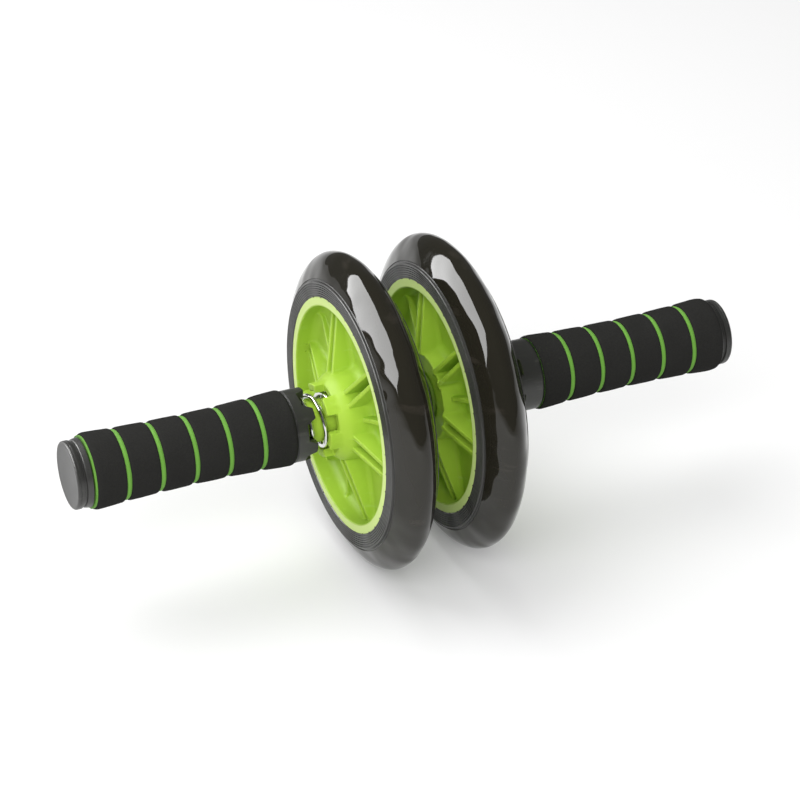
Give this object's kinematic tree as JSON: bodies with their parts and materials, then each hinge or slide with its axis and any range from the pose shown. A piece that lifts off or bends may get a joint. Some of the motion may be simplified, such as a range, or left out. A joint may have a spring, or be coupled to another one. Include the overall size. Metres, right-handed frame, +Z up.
{
  "type": "ab wheel roller",
  "caption": "Twin-wheel exercise roller with spoked wheels on one axle and two padded handles that slide in against springs to brake the wheels.",
  "frame": {"origin": "middle of the axle, halfway between the two wheels", "axes": "+X along the axle towards the right handle, +Z up, +Y away from the viewer of the picture"},
  "size_m": [0.394, 0.18, 0.18],
  "materials": {
    "green_plastic": "satin",
    "tyre_rubber": "gloss",
    "black_foam": "matte",
    "green_foam": "matte",
    "black_plastic": "satin",
    "bush_plastic": "satin",
    "spring_chrome": "polished",
    "steel": "satin"
  },
  "bodies": {
    "axle": {"axle_tube": "steel", "centre_spacer": "black_plastic", "left_spring_washer": "steel", "left_thrust_washer": "steel", "left_retaining_ring": "steel", "left_end_insert": "steel", "left_end_washer": "steel", "left_end_screw": "steel", "right_spring_washer": "steel", "right_thrust_washer": "steel", "right_retaining_ring": "steel", "right_end_insert": "steel", "right_end_washer": "steel", "right_end_screw": "steel"},
    "left_wheel": {"left_hub": "green_plastic", "left_tyre": "tyre_rubber", "left_inner_bush": "bush_plastic", "left_outer_bush": "bush_plastic"},
    "right_wheel": {"right_hub": "green_plastic", "right_tyre": "tyre_rubber", "right_inner_bush": "bush_plastic", "right_outer_bush": "bush_plastic"},
    "left_handle": {"left_collar": "black_plastic", "left_grip_tube": "black_plastic", "left_grip_sleeve": "green_foam", "left_end_cap": "black_plastic", "left_spring": "spring_chrome", "left_foam_ring_1": "black_foam", "left_foam_ring_2": "black_foam", "left_foam_ring_3": "black_foam", "left_foam_ring_4": "black_foam", "left_foam_ring_5": "black_foam", "left_foam_ring_6": "black_foam"},
    "right_handle": {"right_collar": "black_plastic", "right_grip_tube": "black_plastic", "right_grip_sleeve": "green_foam", "right_end_cap": "black_plastic", "right_spring": "spring_chrome", "right_foam_ring_1": "black_foam", "right_foam_ring_2": "black_foam", "right_foam_ring_3": "black_foam", "right_foam_ring_4": "black_foam", "right_foam_ring_5": "black_foam", "right_foam_ring_6": "black_foam"}
  },
  "joints": [
    {"name": "left_wheel_spin", "type": "hinge", "parent": "axle", "child": "left_wheel", "pos_m": [-0.0266, 0, 0], "axis": [1, 0, 0], "continuous": true},
    {"name": "right_wheel_spin", "type": "hinge", "parent": "axle", "child": "right_wheel", "pos_m": [0.0266, 0, 0], "axis": [1, 0, 0], "continuous": true},
    {"name": "left_handle_slide", "type": "slide", "parent": "axle", "child": "left_handle", "axis": [1, 0, 0], "range_m": [0, 0.0064], "stiffness_N_per_m": 1500, "springref_m": -0.008, "deforming": ["left_spring"]},
    {"name": "right_handle_slide", "type": "slide", "parent": "axle", "child": "right_handle", "axis": [-1, 0, 0], "range_m": [0, 0.0064], "stiffness_N_per_m": 1500, "springref_m": -0.008, "deforming": ["right_spring"]}
  ]
}
